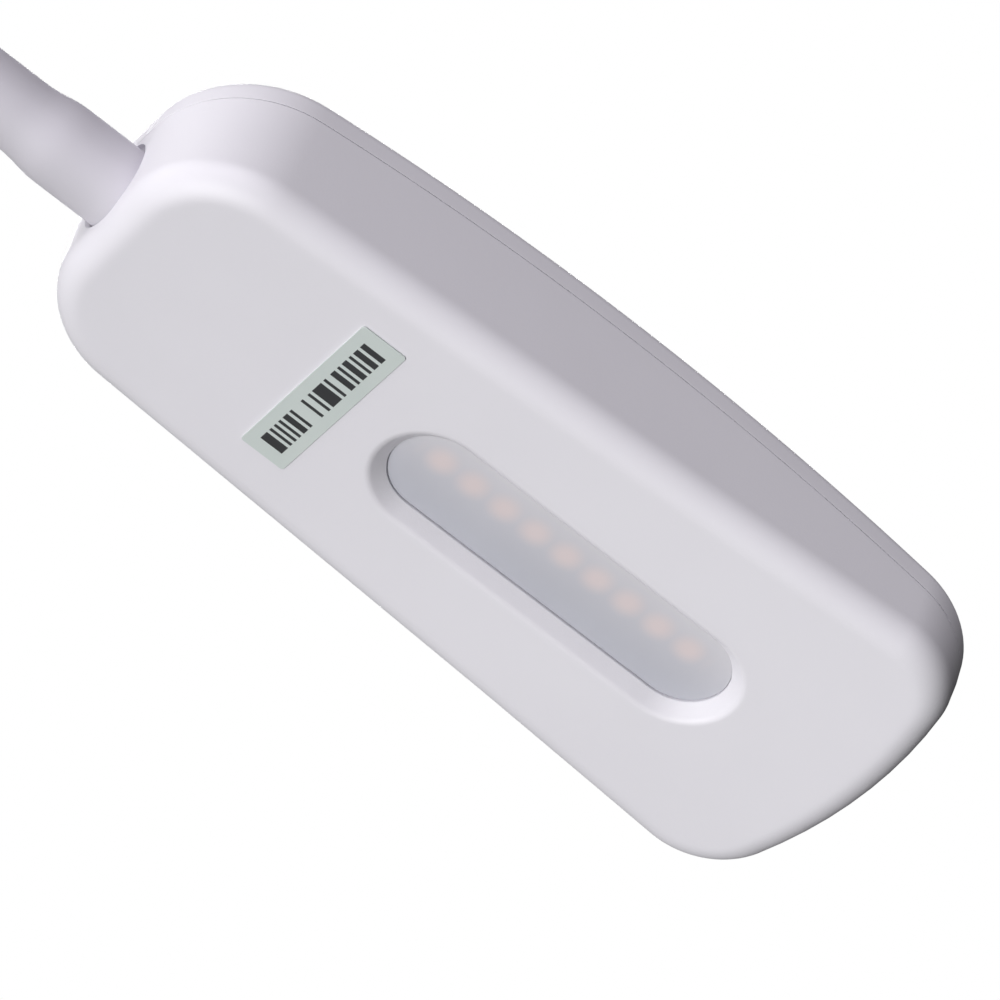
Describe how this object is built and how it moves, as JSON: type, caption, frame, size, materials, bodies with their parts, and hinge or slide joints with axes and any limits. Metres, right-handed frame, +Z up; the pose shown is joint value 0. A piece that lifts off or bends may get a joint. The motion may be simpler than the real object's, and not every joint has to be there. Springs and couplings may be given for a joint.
{
  "type": "clip on reading lamp",
  "caption": "Reading lamp with a flat LED head on a bendable sleeved gooseneck, held by a sprung clip with a push button and rubber jaw pads.",
  "frame": {"origin": "centre of the upper jaw pad's gripping face, the face that rests on the board or shelf edge the clip holds", "axes": "+X out of the mouth of the clip and along the head from its rear to its front, +Z up away from the gripped board, +Y completes the right-handed frame"},
  "size_m": [0.2977, 0.0612, 0.2654],
  "materials": {
    "shell": "white injection-moulded plastic, fine satin texture",
    "button": "satin moulded plastic",
    "pad": "soft grey rubber",
    "sleeve": "smooth white silicone",
    "hose": "wound steel strip",
    "lead": "white insulated lead",
    "diffuser": "opal diffusing plastic",
    "led_board": "white solder mask on aluminium",
    "led": "yellow phosphor in a white package",
    "label": "printed polyester sticker",
    "fitting": "nickel-plated brass",
    "steel": "zinc-plated steel",
    "control_board": "green solder mask on laminate",
    "contact": "black moulded plastic"
  },
  "bodies": {
    "root": {"clip_top_shell": "shell", "clip_bottom_shell": "shell", "upper_pad": "pad", "pivot_pin": "steel", "torsion_spring": "steel", "tact_switch": "contact", "control_board": "control_board", "dc_inlet": "contact", "base_ferrule": "fitting", "base_nut": "fitting", "clip_lead": "lead", "shell_screw_1": "steel", "shell_screw_2": "steel", "shell_screw_3": "steel", "control_screw_1": "steel", "control_screw_2": "steel", "neck_sleeve_1": "sleeve", "neck_hose_1": "hose"},
    "jaw": {"moving_jaw": "shell", "lower_pad": "pad"},
    "button": {"power_button": "button"},
    "link_1": {"neck_sleeve_2": "sleeve", "neck_hose_2": "hose", "neck_lead_2": "lead"},
    "link_2": {"neck_sleeve_3": "sleeve", "neck_hose_3": "hose", "neck_lead_3": "lead"},
    "link_3": {"neck_sleeve_4": "sleeve", "neck_hose_4": "hose", "neck_lead_4": "lead"},
    "link_4": {"neck_sleeve_5": "sleeve", "neck_hose_5": "hose", "neck_lead_5": "lead"},
    "link_5": {"neck_sleeve_6": "sleeve", "neck_hose_6": "hose", "neck_lead_6": "lead"},
    "head": {"neck_sleeve_7": "sleeve", "neck_hose_7": "hose", "head_housing": "shell", "head_cover": "shell", "diffuser": "diffuser", "led_board": "led_board", "led_1": "led", "led_2": "led", "led_3": "led", "led_4": "led", "led_5": "led", "led_6": "led", "led_7": "led", "led_8": "led", "led_9": "led", "board_screw_1": "steel", "board_screw_2": "steel", "rating_label": "label", "head_ferrule": "fitting", "neck_clamp": "steel", "clamp_screw_1": "steel", "clamp_screw_2": "steel", "head_lead": "lead"}
  },
  "joints": [
    {"name": "neck_bend_1", "type": "hinge", "parent": "root", "child": "link_1", "pos_m": [-0.04, 0, 0.06834], "axis": [0, 1, 0], "range_deg": [-30, 30], "deforming": ["neck_sleeve_1", "neck_sleeve_2", "clip_lead", "neck_lead_2"]},
    {"name": "neck_bend_2", "type": "hinge", "parent": "link_1", "child": "link_2", "pos_m": [-0.04, 0, 0.10837], "axis": [1, 0, 0], "range_deg": [-30, 30], "deforming": ["neck_sleeve_2", "neck_sleeve_3", "neck_lead_2", "neck_lead_3"]},
    {"name": "neck_bend_3", "type": "hinge", "parent": "link_2", "child": "link_3", "pos_m": [-0.04, 0, 0.14841], "axis": [0, 1, 0], "range_deg": [-30, 30], "deforming": ["neck_sleeve_3", "neck_sleeve_4", "neck_lead_3", "neck_lead_4"]},
    {"name": "neck_bend_4", "type": "hinge", "parent": "link_3", "child": "link_4", "pos_m": [-0.03259, 0, 0.18719], "axis": [0.8764, 0, -0.4815], "range_deg": [-30, 30], "deforming": ["neck_sleeve_4", "neck_sleeve_5", "neck_lead_4", "neck_lead_5"]},
    {"name": "neck_bend_5", "type": "hinge", "parent": "link_4", "child": "link_5", "pos_m": [-0.00343, 0, 0.21354], "axis": [0, 1, 0], "range_deg": [-30, 30], "deforming": ["neck_sleeve_5", "neck_sleeve_6", "neck_lead_5", "neck_lead_6"]},
    {"name": "neck_bend_6", "type": "hinge", "parent": "link_5", "child": "head", "pos_m": [0.03596, 0, 0.2183], "axis": [0, 0, -1], "range_deg": [-30, 30], "deforming": ["neck_sleeve_6", "neck_sleeve_7", "neck_lead_6", "head_lead"]},
    {"name": "jaw_hinge", "type": "hinge", "parent": "root", "child": "jaw", "pos_m": [-0.042, 0, -0.0045], "axis": [0, 1, 0], "range_deg": [0, 32], "stiffness_Nm_per_rad": 1.2, "springref_deg": -40.11, "deforming": ["torsion_spring"]},
    {"name": "button_press", "type": "slide", "parent": "root", "child": "button", "axis": [0, 0, -1], "range_m": [0, 0.0008], "stiffness_N_per_m": 1500, "springref_m": -0.0004}
  ]
}
